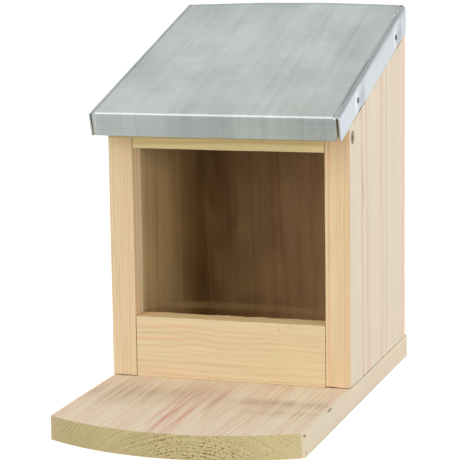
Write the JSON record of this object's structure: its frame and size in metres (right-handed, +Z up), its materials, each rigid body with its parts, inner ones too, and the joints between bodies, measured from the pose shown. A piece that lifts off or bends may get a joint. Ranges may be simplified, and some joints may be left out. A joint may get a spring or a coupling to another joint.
{
  "type": "squirrel feeder",
  "caption": "Wooden feeding box on a platform with a bowed front edge, clear front pane between rails, and a sheet-metal covered sloping lid that lifts on rear hinges.",
  "frame": {"origin": "middle of the base board's underside, which is the middle of the whole object's footprint", "axes": "+X to the right when facing the clear front, +Y from the platform to the back, +Z up"},
  "size_m": [0.121, 0.2206, 0.185],
  "materials": {
    "pine": "planed, unfinished",
    "pine_base": "planed, unfinished, edges eased",
    "pine_lid": "sawn, unfinished",
    "clear_acrylic": "clear, gloss",
    "zinc_sheet": "galvanised, matt, lightly rolled",
    "steel_screws": "zinc plated",
    "nails": "dull bare steel",
    "hinge_steel": "zinc plated, satin",
    "hanger_steel": "zinc plated, satin"
  },
  "bodies": {
    "box": {"base_board": "pine_base", "side_left": "pine", "side_right": "pine", "back_board": "pine", "bottom_rail": "pine", "top_rail": "pine", "window_pane": "clear_acrylic", "base_screws": "steel_screws", "back_screws": "steel_screws", "rail_screws": "steel_screws", "hinge_left_box_leaf": "hinge_steel", "hinge_left_pin": "hinge_steel", "hinge_right_box_leaf": "hinge_steel", "hinge_right_pin": "hinge_steel", "hinge_screws_box": "steel_screws", "hanger_plate": "hanger_steel", "hanger_screws": "steel_screws"},
    "lid": {"lid_board": "pine_lid", "lid_sheet": "zinc_sheet", "sheet_nails": "nails", "hinge_left_lid_leaf": "hinge_steel", "hinge_right_lid_leaf": "hinge_steel", "hinge_screws_lid": "steel_screws"}
  },
  "joints": [
    {"name": "lid_hinge", "type": "hinge", "parent": "box", "child": "lid", "pos_m": [0, 0.10605, 0.17133], "axis": [-1, 0, 0], "range_deg": [0, 180]}
  ]
}
